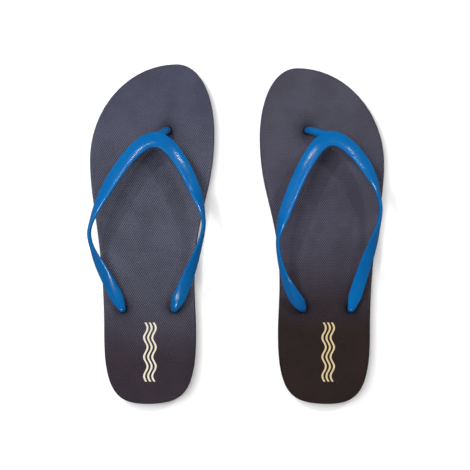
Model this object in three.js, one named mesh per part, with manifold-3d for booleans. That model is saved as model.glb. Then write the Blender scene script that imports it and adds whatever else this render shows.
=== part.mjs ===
// A pair of thong flip flops, in millimetres, +Z up, toes towards +Y.
// Each sandal is a layered foam sole (footbed sheet, midsole, outsole) and one moulded strap whose
// toe post and two rear stems pass through the sole and end in discs that sit in pockets underneath.
// The origin is at the middle of the pair, on the surface that the soles stand on.

import * as THREE from 'three';
import { mergeVertices } from 'three/addons/utils/BufferGeometryUtils.js';
import Module from 'manifold-3d';

const wasm = await Module();
wasm.setup();

// ---------------------------------------------------------------- driving dimensions

// Sole outline. Places along the sole are measured from the heel's back edge or from the toe tip.
const HEEL_WIDEST_FROM_BACK = 54;
const HEEL_HALF_WIDTH = 35.6;
const HEEL_BACK_OFFSET = -2.2; // the rearmost point lies this far towards the little toe's side
const WAIST_FROM_BACK = 93.3;
const WAIST_MEDIAL = 34.4;
const BALL_MEDIAL = 50;
const BALL_MEDIAL_FROM_TOE = 53;
const BALL_LATERAL = 47;
const BALL_LATERAL_FROM_TOE = 75;
const TOE_TIP_MEDIAL = 21;

// Sole layers.
const HEEL_HEIGHT = 17;
const BALL_HEIGHT = 14;
const WEDGE_BACK_FROM_HEEL = 60; // the top is level behind this place
const WEDGE_FRONT_FROM_TOE = 100; // and level again in front of this one
const FOOTBED_THICKNESS = 3;
const OUTSOLE_THICKNESS = 4;
const GLUE_LINE = 0.3;
const RIM_WIDTH = 1.5;
const RIM_DROP = 1.2;

// Holes for the strap.
const REAR_HOLE_FROM_BACK = 74;
const STEM_RADIUS = 2.9;
const STEM_CLEARANCE = 0.5;
const DISC_RADIUS = 8.5;
const DISC_THICKNESS = 3;
const DISC_SIDE_CLEARANCE = 1.2;
const DISC_SEAT_GAP = 0.3;

// Strap band: width and thickness at the apex, at the sides of the foot and at the rear.
const BAND_THICKNESS = 3.2;
const APEX_WIDTH = 11.8;
const SIDE_WIDTH = 8.8;
const REAR_WIDTH = 10.7;
const TAIL_WIDTH = 8;
const TAIL_THICKNESS = 4.4;
const APEX_HEIGHT = 23; // above the footbed, to the middle of the band
const SIDE_HEIGHT = 29;
const APEX_TILT = 4; // degrees that the band leans outwards from lying flat
const SIDE_TILT = 88;
const REAR_TILT = 22;
const TAIL_TILT = 8;
const TAIL_RISE = 3.3; // where the band turns down into its stem, above the footbed
const POST_TOP_RADIUS = 3.8;
const POST_SINK = 1.3; // how far below the band's middle the toe post ends, inside the band

// Tread under the outsole.
const GROOVE_DEPTH = 1.4;
const GROOVE_WIDTH = 2.6;
const GROOVE_PITCH = 15;
const ZIGZAG_LENGTH = 26;
const ZIGZAG_RISE = 7;
const TREAD_MARGIN = 6;
const LAND_ROUND_DISC = 3;

// The pair as it stands: each sandal's own soft sole and the way its strap lies.
const PAIR_SPACING = 136; // between the two heel centre lines
const SANDALS = [
  {
    name: 'left',
    mirror: 1,
    soleLength: 265,
    toeHole: { fromToe: 51.8, fromMedialEdge: 36.3 },
    rearHoles: { fromMedialEdge: 15.8, fromLateralEdge: 14.7 },
    apexFromToeHole: { medial: -8.7, forward: -8.5 },
    lateral: { fromBack: 133, overhang: 3.3, frontPull: [0.37, 0.2], rearPull: [0.22, 0.4] },
    medial: { fromBack: 141, overhang: 3.8, frontPull: [0.48, 0.2], rearPull: [0.26, 0.09] },
  },
  {
    name: 'right',
    mirror: -1,
    soleLength: 262,
    toeHole: { fromToe: 48.8, fromMedialEdge: 37.2 },
    rearHoles: { fromMedialEdge: 18.2, fromLateralEdge: 15.2 },
    apexFromToeHole: { medial: -16.3, forward: -6.7 },
    lateral: { fromBack: 151, overhang: -3.1, frontPull: [0.34, 0.45], rearPull: [0.2, 0.5] },
    medial: { fromBack: 127, overhang: 0.3, frontPull: [0.39, 0.16], rearPull: [0.55, 0.05] },
  },
];

// How finely the curves are divided.
const SIDE_STEPS = 40;
const CURVE_SAMPLES = 60;
const BAND_STEPS = 11;
const POST_STEPS = 7;
const ROUND_SIDES = 20;
const GROOVE_OVERRUN = 1;

// ---------------------------------------------------------------- solids

// A closed body from a BufferGeometry. A mirrored one has its faces turned to point outwards.
function solidFrom(geometry) {
  const bare = geometry.clone();
  bare.deleteAttribute('normal');
  bare.deleteAttribute('uv');
  const merged = mergeVertices(bare, 1e-4);
  const points = merged.attributes.position.array;
  const faces = new Uint32Array(merged.index.array);
  if (signedVolume(points, faces) < 0) {
    for (let i = 0; i < faces.length; i += 3) {
      [faces[i], faces[i + 1]] = [faces[i + 1], faces[i]];
    }
  }
  const mesh = new wasm.Mesh({ numProp: 3, vertProperties: new Float32Array(points), triVerts: faces });
  return new wasm.Manifold(mesh);
}

function signedVolume(points, faces) {
  const corner = (i) => new THREE.Vector3().fromArray(points, faces[i] * 3);
  let volume = 0;
  for (let i = 0; i < faces.length; i += 3) {
    volume += corner(i).dot(corner(i + 1).cross(corner(i + 2))) / 6;
  }
  return volume;
}

function geometryFrom(solid) {
  const mesh = solid.getMesh();
  const geometry = new THREE.BufferGeometry();
  geometry.setAttribute('position', new THREE.BufferAttribute(mesh.vertProperties, 3));
  geometry.setIndex(new THREE.BufferAttribute(mesh.triVerts, 1));
  geometry.computeVertexNormals();
  return geometry;
}

// Joins equal rings of points into a tube; cap(first, count) returns the triangles that close an end.
function loft(rings, cap) {
  const count = rings[0].length;
  const index = [];
  for (let row = 0; row + 1 < rings.length; row += 1) {
    for (let i = 0; i < count; i += 1) {
      const a = row * count + i;
      const b = row * count + (i + 1) % count;
      index.push(a, b, b + count, a, b + count, a + count);
    }
  }
  cap(0, count).forEach(([a, b, c]) => index.push(a, c, b));
  cap((rings.length - 1) * count, count).forEach(([a, b, c]) => index.push(a, b, c));
  const geometry = new THREE.BufferGeometry().setFromPoints(rings.flat());
  geometry.setIndex(index);
  return solidFrom(geometry);
}

// Closes a convex ring with a fan.
function fanCap(first, count) {
  const triangles = [];
  for (let i = 1; i + 1 < count; i += 1) {
    triangles.push([first, first + i, first + i + 1]);
  }
  return triangles;
}

// Closes a sole-shaped ring with strips that run straight across from one side to the other.
function stripCap(first, count) {
  const triangles = [];
  for (let i = 0; i < count / 2; i += 1) {
    const near = [first + i, first + (count - i) % count];
    const far = [first + i + 1, first + count - i - 1];
    if (i > 0) {
      triangles.push([near[0], far[0], near[1]]);
    }
    if (i + 1 < count / 2) {
      triangles.push([far[0], far[1], near[1]]);
    }
  }
  return triangles;
}

// An upright cylinder standing on `bottom`.
function post(x, y, bottom, top, radius) {
  const geometry = new THREE.CylinderGeometry(radius, radius, top - bottom, ROUND_SIDES);
  geometry.rotateX(Math.PI / 2);
  geometry.translate(x, y, (bottom + top) / 2);
  return solidFrom(geometry);
}

// ---------------------------------------------------------------- sole outline

// A curve between two places that leaves and arrives along x ('x') or along y ('y').
function edgeCurve(from, leave, to, arrive, pull) {
  const reach = new THREE.Vector2().subVectors(to, from);
  const step = (axis, share) => new THREE.Vector2(axis === 'x' ? reach.x * share : 0,
    axis === 'y' ? reach.y * share : 0);
  const second = from.clone().add(step(leave, pull[0]));
  const third = to.clone().sub(step(arrive, pull[1]));
  return new THREE.CubicBezierCurve(from, second, third, to);
}

// Both sides of a sole from heel to toe, on the medial side of +x before any mirroring.
function soleSides(sandal) {
  const heelBack = new THREE.Vector2(HEEL_BACK_OFFSET, 0);
  const heelMedial = new THREE.Vector2(HEEL_HALF_WIDTH, HEEL_WIDEST_FROM_BACK);
  const heelLateral = new THREE.Vector2(-HEEL_HALF_WIDTH, HEEL_WIDEST_FROM_BACK);
  const waist = new THREE.Vector2(WAIST_MEDIAL, WAIST_FROM_BACK);
  const ballMedial = new THREE.Vector2(BALL_MEDIAL, sandal.soleLength - BALL_MEDIAL_FROM_TOE);
  const ballLateral = new THREE.Vector2(-BALL_LATERAL, sandal.soleLength - BALL_LATERAL_FROM_TOE);
  const toeTip = new THREE.Vector2(TOE_TIP_MEDIAL, sandal.soleLength);
  const medial = [
    edgeCurve(heelBack, 'x', heelMedial, 'y', [0.8, 0.81]),
    edgeCurve(heelMedial, 'y', waist, 'y', [0.33, 0.33]),
    edgeCurve(waist, 'y', ballMedial, 'y', [0.48, 0.41]),
    edgeCurve(ballMedial, 'y', toeTip, 'x', [0.57, 0.6]),
  ];
  const lateral = [
    edgeCurve(heelBack, 'x', heelLateral, 'y', [0.66, 0.86]),
    edgeCurve(heelLateral, 'y', ballLateral, 'y', [0.54, 0.27]),
    edgeCurve(ballLateral, 'y', toeTip, 'x', [0.53, 0.57]),
  ];
  const sampled = (curves) => curves.flatMap((curve) => curve.getPoints(CURVE_SAMPLES));
  return { medial: sampled(medial), lateral: sampled(lateral) };
}

// Where a side crosses the line y.
function sideX(side, y) {
  const next = side.findIndex((point, i) => i > 0 && point.y >= y && point.y > side[i - 1].y);
  const a = side[next - 1];
  const b = side[next];
  return THREE.MathUtils.mapLinear(y, a.y, b.y, a.x, b.x);
}

// The closed outline: heel back, up the medial side to the toe tip, and down the lateral side.
// Places are closer together at the two round ends.
function soleOutline(sandal, sides) {
  const places = [];
  for (let i = 1; i < SIDE_STEPS; i += 1) {
    places.push(sandal.soleLength * (1 - Math.cos((Math.PI * i) / SIDE_STEPS)) / 2);
  }
  const medial = places.map((y) => new THREE.Vector2(sideX(sides.medial, y), y));
  const lateral = places.map((y) => new THREE.Vector2(sideX(sides.lateral, y), y));
  const heelBack = new THREE.Vector2(HEEL_BACK_OFFSET, 0);
  const toeTip = new THREE.Vector2(TOE_TIP_MEDIAL, sandal.soleLength);
  return [heelBack, ...medial, toeTip, ...lateral.reverse()];
}

// The outline moved inwards along its own normals.
function insetOutline(outline, inset) {
  const count = outline.length;
  return outline.map((point, i) => {
    const before = outline[(i + count - 1) % count];
    const after = outline[(i + 1) % count];
    const along = new THREE.Vector2().subVectors(after, before).normalize();
    return new THREE.Vector2(point.x - along.y * inset, point.y + along.x * inset);
  });
}

// Height of the footbed's surface: the heel's, falling smoothly to the ball's.
function footbedTop(sandal, y) {
  const front = sandal.soleLength - WEDGE_FRONT_FROM_TOE;
  const share = THREE.MathUtils.smoothstep(y, WEDGE_BACK_FROM_HEEL, front);
  return THREE.MathUtils.lerp(HEEL_HEIGHT, BALL_HEIGHT, share);
}

function ring(sandal, outline, height) {
  return outline.map((point) => new THREE.Vector3(sandal.mirror * point.x, point.y, height(point.y)));
}

// ---------------------------------------------------------------- sole layers

// The three places where the strap passes through the sole.
function strapHoles(sandal, sides) {
  const toeY = sandal.soleLength - sandal.toeHole.fromToe;
  const toeX = sideX(sides.medial, toeY) - sandal.toeHole.fromMedialEdge;
  const rearY = REAR_HOLE_FROM_BACK;
  const medialX = sideX(sides.medial, rearY) - sandal.rearHoles.fromMedialEdge;
  const lateralX = sideX(sides.lateral, rearY) + sandal.rearHoles.fromLateralEdge;
  return {
    toe: new THREE.Vector2(toeX, toeY),
    medial: new THREE.Vector2(medialX, rearY),
    lateral: new THREE.Vector2(lateralX, rearY),
  };
}

function cutHoles(sandal, solid, holes, radius) {
  return Object.values(holes).reduce((rest, hole) => {
    const cutter = post(sandal.mirror * hole.x, hole.y, -HEEL_HEIGHT, 2 * HEEL_HEIGHT, radius);
    return rest.subtract(cutter);
  }, solid);
}

function footbed(sandal, outline, holes) {
  const top = (y) => footbedTop(sandal, y);
  const layer = loft([
    ring(sandal, outline, (y) => top(y) - FOOTBED_THICKNESS),
    ring(sandal, outline, (y) => top(y) - RIM_DROP),
    ring(sandal, insetOutline(outline, RIM_WIDTH), top),
  ], stripCap);
  return cutHoles(sandal, layer, holes, STEM_RADIUS + STEM_CLEARANCE);
}

function midsole(sandal, outline, holes) {
  const layer = loft([
    ring(sandal, outline, () => OUTSOLE_THICKNESS),
    ring(sandal, outline, (y) => footbedTop(sandal, y) - FOOTBED_THICKNESS - GLUE_LINE),
  ], stripCap);
  return cutHoles(sandal, layer, holes, STEM_RADIUS + STEM_CLEARANCE);
}

// One zigzag groove across the sole, as a ribbon of constant width along y.
function grooveCutter(y) {
  const reach = BALL_MEDIAL + BALL_LATERAL;
  const corners = [];
  for (let x = -reach, up = 0; x <= reach; x += ZIGZAG_LENGTH / 2, up = 1 - up) {
    corners.push(new THREE.Vector2(x, y + up * ZIGZAG_RISE));
  }
  const back = corners.map((point) => new THREE.Vector2(point.x, point.y + GROOVE_WIDTH)).reverse();
  const shape = new THREE.Shape([...corners, ...back]);
  const depth = GROOVE_DEPTH + GROOVE_OVERRUN;
  const geometry = new THREE.ExtrudeGeometry(shape, { depth, bevelEnabled: false });
  geometry.translate(0, 0, -GROOVE_OVERRUN);
  return solidFrom(geometry);
}

// All the tread grooves, kept off the sole's edge and off the land round each disc pocket.
function treadCutter(sandal, outline, holes) {
  const field = insetOutline(outline, TREAD_MARGIN);
  const allowed = loft([
    ring(sandal, field, () => -2 * GROOVE_OVERRUN),
    ring(sandal, field, () => OUTSOLE_THICKNESS),
  ], stripCap);
  let grooves = grooveCutter(TREAD_MARGIN);
  for (let y = TREAD_MARGIN + GROOVE_PITCH; y < sandal.soleLength; y += GROOVE_PITCH) {
    grooves = grooves.add(grooveCutter(y));
  }
  const land = DISC_RADIUS + DISC_SIDE_CLEARANCE + LAND_ROUND_DISC;
  return cutHoles(sandal, grooves.intersect(allowed), holes, land);
}

function outsole(sandal, outline, holes) {
  const layer = loft([
    ring(sandal, outline, () => 0),
    ring(sandal, outline, () => OUTSOLE_THICKNESS),
  ], stripCap);
  const pocketed = cutHoles(sandal, layer, holes, DISC_RADIUS + DISC_SIDE_CLEARANCE);
  return pocketed.subtract(treadCutter(sandal, outline, holes));
}

// ---------------------------------------------------------------- strap

// One arm's path from the apex, round the side of the foot, to its rear hole, as two curves.
function armCurves(sandal, apex, arm, edgeX, hole) {
  const outwards = Math.sign(edgeX);
  const sideTop = footbedTop(sandal, arm.fromBack) + SIDE_HEIGHT;
  const side = new THREE.Vector3(edgeX + outwards * arm.overhang, arm.fromBack, sideTop);
  const tail = new THREE.Vector3(hole.x, hole.y, footbedTop(sandal, hole.y) + TAIL_RISE);
  const front = new THREE.CubicBezierCurve3(
    apex,
    new THREE.Vector3(THREE.MathUtils.lerp(apex.x, side.x, arm.frontPull[0]), apex.y, apex.z + 4),
    new THREE.Vector3(side.x, THREE.MathUtils.lerp(side.y, apex.y, arm.frontPull[1]), side.z),
    side,
  );
  const approach = new THREE.Vector3().lerpVectors(tail, side, arm.rearPull[1]);
  const rear = new THREE.CubicBezierCurve3(
    side,
    new THREE.Vector3(side.x, THREE.MathUtils.lerp(side.y, tail.y, arm.rearPull[0]), side.z),
    approach.setZ(tail.z + 8),
    tail,
  );
  return [front, rear];
}

// The band's cross-section: a flat bar with its long edges eased, across `width` and `normal`.
function bandRing(sandal, centre, inwards, normal, width, thickness) {
  const ease = thickness / 3;
  const half = [width / 2, thickness / 2];
  const corners = [
    [half[0], -half[1] + ease], [half[0], half[1] - ease], [half[0] - ease, half[1]],
    [-half[0] + ease, half[1]], [-half[0], half[1] - ease], [-half[0], -half[1] + ease],
    [-half[0] + ease, -half[1]], [half[0] - ease, -half[1]],
  ];
  return corners.map(([across, up]) => {
    const place = centre.clone().addScaledVector(inwards, across).addScaledVector(normal, up);
    return place.setX(place.x * sandal.mirror);
  });
}

// One arm's rings. The band lies flat at the apex, stands on edge at the side of the foot, and
// leans over again towards the rear, where it narrows into the stem.
function armRings(sandal, curves, start, side) {
  const rings = [];
  curves.forEach((curve, part) => {
    for (let i = part === 0 ? start : 1; i <= BAND_STEPS; i += 1) {
      const t = i / BAND_STEPS;
      const along = curve.getTangent(t);
      const inwards = new THREE.Vector3(-along.y * side, along.x * side, 0).normalize();
      const turn = THREE.MathUtils.degToRad(bandTilt(part, t));
      const across = inwards.clone().multiplyScalar(Math.cos(turn));
      across.z = Math.sin(turn);
      across.addScaledVector(along, -across.dot(along)).normalize();
      const normal = new THREE.Vector3().crossVectors(along, across).multiplyScalar(-side);
      rings.push(bandRing(sandal, curve.getPoint(t), across, normal, ...bandSize(part, t)));
    }
  });
  return rings;
}

// How far the band leans outwards from lying flat, in degrees.
function bandTilt(part, t) {
  const { lerp, smoothstep } = THREE.MathUtils;
  if (part === 0) {
    return lerp(APEX_TILT, SIDE_TILT, smoothstep(t, 0.22, 1));
  }
  const leaning = lerp(SIDE_TILT, REAR_TILT, smoothstep(t, 0, 0.8));
  return lerp(leaning, TAIL_TILT, smoothstep(t, 0.7, 1));
}

// Width and thickness of the band: narrower round the side, wider behind it, small at the tail.
function bandSize(part, t) {
  const { lerp, smoothstep } = THREE.MathUtils;
  if (part === 0) {
    return [lerp(APEX_WIDTH, SIDE_WIDTH, t), BAND_THICKNESS];
  }
  const fuller = lerp(SIDE_WIDTH, REAR_WIDTH, smoothstep(t, 0, 0.5));
  const tail = smoothstep(t, 0.65, 1);
  return [lerp(fuller, TAIL_WIDTH, tail), lerp(BAND_THICKNESS, TAIL_THICKNESS, tail)];
}

// The toe post's upper part, bending from its upright stem into the underside of the apex.
function toePost(sandal, apex, hole) {
  const foot = new THREE.Vector3(hole.x, hole.y, BALL_HEIGHT);
  const head = apex.clone().setZ(apex.z - POST_SINK);
  const curve = new THREE.CubicBezierCurve3(
    foot,
    foot.clone().setZ(foot.z + APEX_HEIGHT / 2),
    new THREE.Vector3().lerpVectors(head, foot, 0.4).setZ(apex.z - APEX_HEIGHT / 4),
    head,
  );
  const rings = [];
  for (let i = 0; i <= POST_STEPS; i += 1) {
    const t = i / POST_STEPS;
    const along = curve.getTangent(t);
    const across = new THREE.Vector3(0, 1, 0).cross(along).normalize();
    const upright = new THREE.Vector3().crossVectors(along, across);
    const radius = THREE.MathUtils.lerp(STEM_RADIUS, POST_TOP_RADIUS, t);
    rings.push(roundRing(sandal, curve.getPoint(t), across, upright, radius));
  }
  return loft(rings, fanCap);
}

function roundRing(sandal, centre, across, upright, radius) {
  return Array.from({ length: ROUND_SIDES }, (_, i) => {
    const angle = (2 * Math.PI * i) / ROUND_SIDES;
    const place = centre.clone().addScaledVector(across, radius * Math.cos(angle));
    place.addScaledVector(upright, radius * Math.sin(angle));
    return place.setX(place.x * sandal.mirror);
  });
}

// A stem through the sole with its retaining disc in the pocket underneath.
function stemWithDisc(sandal, hole, top) {
  const x = sandal.mirror * hole.x;
  const discTop = OUTSOLE_THICKNESS - DISC_SEAT_GAP;
  const stem = post(x, hole.y, discTop - DISC_THICKNESS / 2, top, STEM_RADIUS);
  return stem.add(post(x, hole.y, discTop - DISC_THICKNESS, discTop, DISC_RADIUS));
}

// The ball where a band's tail turns down into its stem.
function elbow(sandal, hole) {
  const geometry = new THREE.SphereGeometry(STEM_RADIUS, ROUND_SIDES, ROUND_SIDES / 2);
  const height = footbedTop(sandal, hole.y) + TAIL_RISE;
  geometry.translate(sandal.mirror * hole.x, hole.y, height);
  return solidFrom(geometry);
}

function strap(sandal, sides, holes) {
  const offset = sandal.apexFromToeHole;
  const apexY = holes.toe.y + offset.forward;
  const apex = new THREE.Vector3(holes.toe.x + offset.medial, apexY,
    footbedTop(sandal, apexY) + APEX_HEIGHT);
  const lateralEdge = sideX(sides.lateral, sandal.lateral.fromBack);
  const medialEdge = sideX(sides.medial, sandal.medial.fromBack);
  const lateral = armCurves(sandal, apex, sandal.lateral, lateralEdge, holes.lateral);
  const medial = armCurves(sandal, apex, sandal.medial, medialEdge, holes.medial);
  const rings = [
    ...armRings(sandal, lateral, 0, 1).reverse(),
    ...armRings(sandal, medial, 1, -1),
  ];
  const tailTop = (hole) => footbedTop(sandal, hole.y) + TAIL_RISE;
  return loft(rings, fanCap)
    .add(toePost(sandal, apex, holes.toe))
    .add(stemWithDisc(sandal, holes.toe, BALL_HEIGHT + 1))
    .add(stemWithDisc(sandal, holes.lateral, tailTop(holes.lateral)))
    .add(stemWithDisc(sandal, holes.medial, tailTop(holes.medial)))
    .add(elbow(sandal, holes.lateral))
    .add(elbow(sandal, holes.medial));
}

// ---------------------------------------------------------------- assembly

const finishes = {
  footbed: { color: '#484a5c', roughness: 0.75, metalness: 0 },
  midsole: { color: '#33354a', roughness: 0.85, metalness: 0 },
  outsole: { color: '#25273a', roughness: 0.7, metalness: 0 },
  strap: { color: '#0b66a8', roughness: 0.35, metalness: 0 },
};

function piece(sandal, name, solid) {
  const mesh = new THREE.Mesh(geometryFrom(solid), new THREE.MeshStandardMaterial(finishes[name]));
  mesh.name = `${sandal.name}_${name}`;
  return mesh;
}

function flipFlop(sandal) {
  const sides = soleSides(sandal);
  const outline = soleOutline(sandal, sides);
  const holes = strapHoles(sandal, sides);
  const group = new THREE.Group();
  group.add(piece(sandal, 'footbed', footbed(sandal, outline, holes)));
  group.add(piece(sandal, 'midsole', midsole(sandal, outline, holes)));
  group.add(piece(sandal, 'outsole', outsole(sandal, outline, holes)));
  group.add(piece(sandal, 'strap', strap(sandal, sides, holes)));
  group.position.x = (-sandal.mirror * PAIR_SPACING) / 2;
  return group;
}

const pair = new THREE.Group();
SANDALS.forEach((sandal) => pair.add(flipFlop(sandal)));

// The origin goes to the middle of the pair's outer box, at the height of the floor.
const middle = new THREE.Box3().setFromObject(pair).getCenter(new THREE.Vector3());
pair.position.set(-middle.x, -middle.y, 0);

export default pair;
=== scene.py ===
# %% [markdown]
# # A pair of thong flip flops
#
# Each sandal is a die-cut foam sole and one moulded PVC strap. The sole is three layers pressed together:
# a thin footbed sheet with a diamond emboss, a thick foam midsole and an outsole with a zigzag tread. The
# strap is a single Y-shaped moulding whose toe post and two rear stems go through the sole and end in
# discs underneath.
#
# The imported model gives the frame: where each sandal stands, and which body each piece belongs to. This
# lesson makes the fine surfaces around it with numpy arrays, and the finishes with shader nodes.

import bmesh
import bpy
import mathutils
import numpy as np
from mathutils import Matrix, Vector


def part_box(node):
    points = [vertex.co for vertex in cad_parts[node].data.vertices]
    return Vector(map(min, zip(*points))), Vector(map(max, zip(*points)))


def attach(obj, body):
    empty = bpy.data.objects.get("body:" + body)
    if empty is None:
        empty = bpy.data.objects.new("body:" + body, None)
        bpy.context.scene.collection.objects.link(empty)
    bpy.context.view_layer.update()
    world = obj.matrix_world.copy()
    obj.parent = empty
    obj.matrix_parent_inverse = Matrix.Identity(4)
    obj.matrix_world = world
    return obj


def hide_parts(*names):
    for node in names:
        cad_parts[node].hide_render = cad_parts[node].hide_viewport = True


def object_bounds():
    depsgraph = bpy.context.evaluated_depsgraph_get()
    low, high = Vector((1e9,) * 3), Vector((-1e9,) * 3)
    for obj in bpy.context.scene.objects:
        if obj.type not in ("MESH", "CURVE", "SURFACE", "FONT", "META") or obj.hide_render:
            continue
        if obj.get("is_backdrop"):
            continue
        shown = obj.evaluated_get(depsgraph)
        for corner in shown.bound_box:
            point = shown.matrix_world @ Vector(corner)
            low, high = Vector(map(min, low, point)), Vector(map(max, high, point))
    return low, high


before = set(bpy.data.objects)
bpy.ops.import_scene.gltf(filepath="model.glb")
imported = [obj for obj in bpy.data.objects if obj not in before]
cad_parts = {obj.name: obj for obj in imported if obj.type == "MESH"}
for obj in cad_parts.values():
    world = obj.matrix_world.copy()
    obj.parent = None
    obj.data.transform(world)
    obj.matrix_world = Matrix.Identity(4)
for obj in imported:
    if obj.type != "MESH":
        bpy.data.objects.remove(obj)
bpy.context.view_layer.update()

# %% [markdown]
# ## Measures
#
# A shoemaker's drawing gives a sole by its extreme places: how far the heel, the waist, the ball and the
# toe tip stand out, and how far along they lie. The same sizes as the frame's are used here, in
# millimetres, so the fine sole covers the plain one exactly. Inside each sandal's own drawing the heel's
# back edge is at y = 0 and the big toe's side is at +x; the right sandal is the mirrored one.

# %% Sizes in millimetres
MM = 0.001
HEEL_WIDEST_FROM_BACK, HEEL_HALF_WIDTH, HEEL_BACK_OFFSET = 54, 35.6, -2.2
WAIST_FROM_BACK, WAIST_MEDIAL = 93.3, 34.4
BALL_MEDIAL, BALL_MEDIAL_FROM_TOE = 50, 53
BALL_LATERAL, BALL_LATERAL_FROM_TOE = 47, 75
TOE_TIP_MEDIAL = 21
BALL_HEIGHT = 14
WEDGE_BACK_FROM_HEEL, WEDGE_FRONT_FROM_TOE = 60, 100
FOOTBED_THICKNESS, OUTSOLE_THICKNESS = 3, 4
REAR_HOLE_FROM_BACK = 74
STEM_RADIUS, DISC_RADIUS, DISC_THICKNESS, DISC_POCKET_RADIUS = 2.9, 8.5, 3, 9.7
HEEL_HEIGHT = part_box("left_footbed")[1].z / MM
PARTS = ("footbed", "midsole", "outsole", "strap")

# Each arm of a strap passes the foot's side at from_back and stands out past the sole's edge by overhang.
# front and rear say how far its curve follows its end directions, and turn is where along the front
# half the band starts to turn on edge. apex is measured from the toe hole.
SANDALS = [
    {
        "name": "left",
        "mirror": 1,
        "length": 265,
        "diamond": (1.62, 2.64),
        "diamond_turn": -2,
        "weak_ridge": -0.15,
        "emboss": 1,
        "apex_ease": 2.5,
        "toe_hole": {"from_toe": 51.8, "from_medial": 36.3},
        "rear_holes": {"from_medial": 15.8, "from_lateral": 14.7},
        "apex": (-8.7, -8.5),
        "lateral": dict(from_back=133, overhang=3.3, front=(0.37, 0.2), rear=(0.22, 0.4), turn=0.46),
        "medial": dict(from_back=141, overhang=3.8, front=(0.48, 0.2), rear=(0.26, 0.09), turn=0.52),
    },
    {
        "name": "right",
        "mirror": -1,
        "length": 262,
        "diamond": (1.7, 2.3),
        "diamond_turn": 0,
        "weak_ridge": 0.8,
        "emboss": 0.8,
        "apex_ease": 5,
        "toe_hole": {"from_toe": 48.8, "from_medial": 37.2},
        "rear_holes": {"from_medial": 18.2, "from_lateral": 15.2},
        "apex": (-16.3, -6.7),
        "lateral": dict(from_back=151, overhang=-3.1, front=(0.34, 0.45), rear=(0.2, 0.5), turn=0.5),
        "medial": dict(from_back=127, overhang=0.3, front=(0.39, 0.16), rear=(0.55, 0.05), turn=0.62),
    },
]
print("heel height from the frame", round(HEEL_HEIGHT, 2), "mm")

# %% [markdown]
# ## Curves
#
# A French curve drawn between two places is a cubic Bezier: it starts and ends in given directions, and
# two lengths say how long it follows each of them. All outlines and strap paths below are such curves,
# so each needs only the few points that its shape has.

# %% Curve helpers


def bezier(p, t):
    """Cubic Bezier at t: (1-t)^3 p0 + 3(1-t)^2 t p1 + 3(1-t) t^2 p2 + t^3 p3."""
    p = np.asarray(p, float)
    t = np.asarray(t, float)[:, None]
    return (1 - t) ** 3 * p[0] + 3 * (1 - t) ** 2 * t * p[1] + 3 * (1 - t) * t**2 * p[2] + t**3 * p[3]


def smoothstep(x, low, high):
    """0 below low, 1 above high, and u^2 (3 - 2u) between them."""
    u = np.clip((x - low) / (high - low), 0, 1)
    return u * u * (3 - 2 * u)


def lerp(a, b, u):
    """a + (b - a) u."""
    return a + (b - a) * u


def unit(vectors):
    """Each row divided by its length."""
    return vectors / np.linalg.norm(vectors, axis=1)[:, None]


def resample(points, spacing, values=()):
    """Points at equal steps of length along a polyline, with any values carried along it."""
    steps = np.linalg.norm(np.diff(points, axis=0), axis=1)
    along = np.concatenate([[0], np.cumsum(steps)])
    place = np.linspace(0, along[-1], int(round(along[-1] / spacing)) + 1)
    line = np.stack([np.interp(place, along, column) for column in points.T], axis=1)
    return line, [np.interp(place, along, value) for value in values]


def edge_curve(start, leave, end, arrive, pull):
    """Part of a sole's edge that leaves and arrives along x or y, sampled at 60 places."""
    start, end = np.array(start, float), np.array(end, float)
    keep = {"x": np.array([1, 0]), "y": np.array([0, 1])}
    second = start + (end - start) * keep[leave] * pull[0]
    third = end - (end - start) * keep[arrive] * pull[1]
    return bezier([start, second, third, end], np.linspace(0, 1, 60))


# %% Sole outline


def sole_sides(sandal):
    """The medial and lateral edges, each a polyline from the heel's back to the toe tip."""
    length = sandal["length"]
    back, tip = (HEEL_BACK_OFFSET, 0), (TOE_TIP_MEDIAL, length)
    heel_medial = (HEEL_HALF_WIDTH, HEEL_WIDEST_FROM_BACK)
    heel_lateral = (-HEEL_HALF_WIDTH, HEEL_WIDEST_FROM_BACK)
    waist = (WAIST_MEDIAL, WAIST_FROM_BACK)
    ball_medial = (BALL_MEDIAL, length - BALL_MEDIAL_FROM_TOE)
    ball_lateral = (-BALL_LATERAL, length - BALL_LATERAL_FROM_TOE)
    medial = [
        edge_curve(back, "x", heel_medial, "y", (0.8, 0.81)),
        edge_curve(heel_medial, "y", waist, "y", (0.33, 0.33)),
        edge_curve(waist, "y", ball_medial, "y", (0.48, 0.41)),
        edge_curve(ball_medial, "y", tip, "x", (0.57, 0.6)),
    ]
    lateral = [
        edge_curve(back, "x", heel_lateral, "y", (0.66, 0.86)),
        edge_curve(heel_lateral, "y", ball_lateral, "y", (0.54, 0.27)),
        edge_curve(ball_lateral, "y", tip, "x", (0.53, 0.57)),
    ]
    return np.concatenate(medial), np.concatenate(lateral)


def side_x(side, y):
    """Where an edge crosses the line y, read off its polyline."""
    return np.interp(y, side[:, 1], side[:, 0])


def inset(loop, distance):
    """A closed loop moved inwards along its own normals."""
    along = unit(np.roll(loop, -1, axis=0) - np.roll(loop, 1, axis=0))
    return loop + distance * np.stack([-along[:, 1], along[:, 0]], axis=1)


def footbed_top(sandal, y):
    """Height of the footbed: the heel's, falling smoothly to the ball's."""
    share = smoothstep(y, WEDGE_BACK_FROM_HEEL, sandal["length"] - WEDGE_FRONT_FROM_TOE)
    return lerp(HEEL_HEIGHT, BALL_HEIGHT, share)


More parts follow.
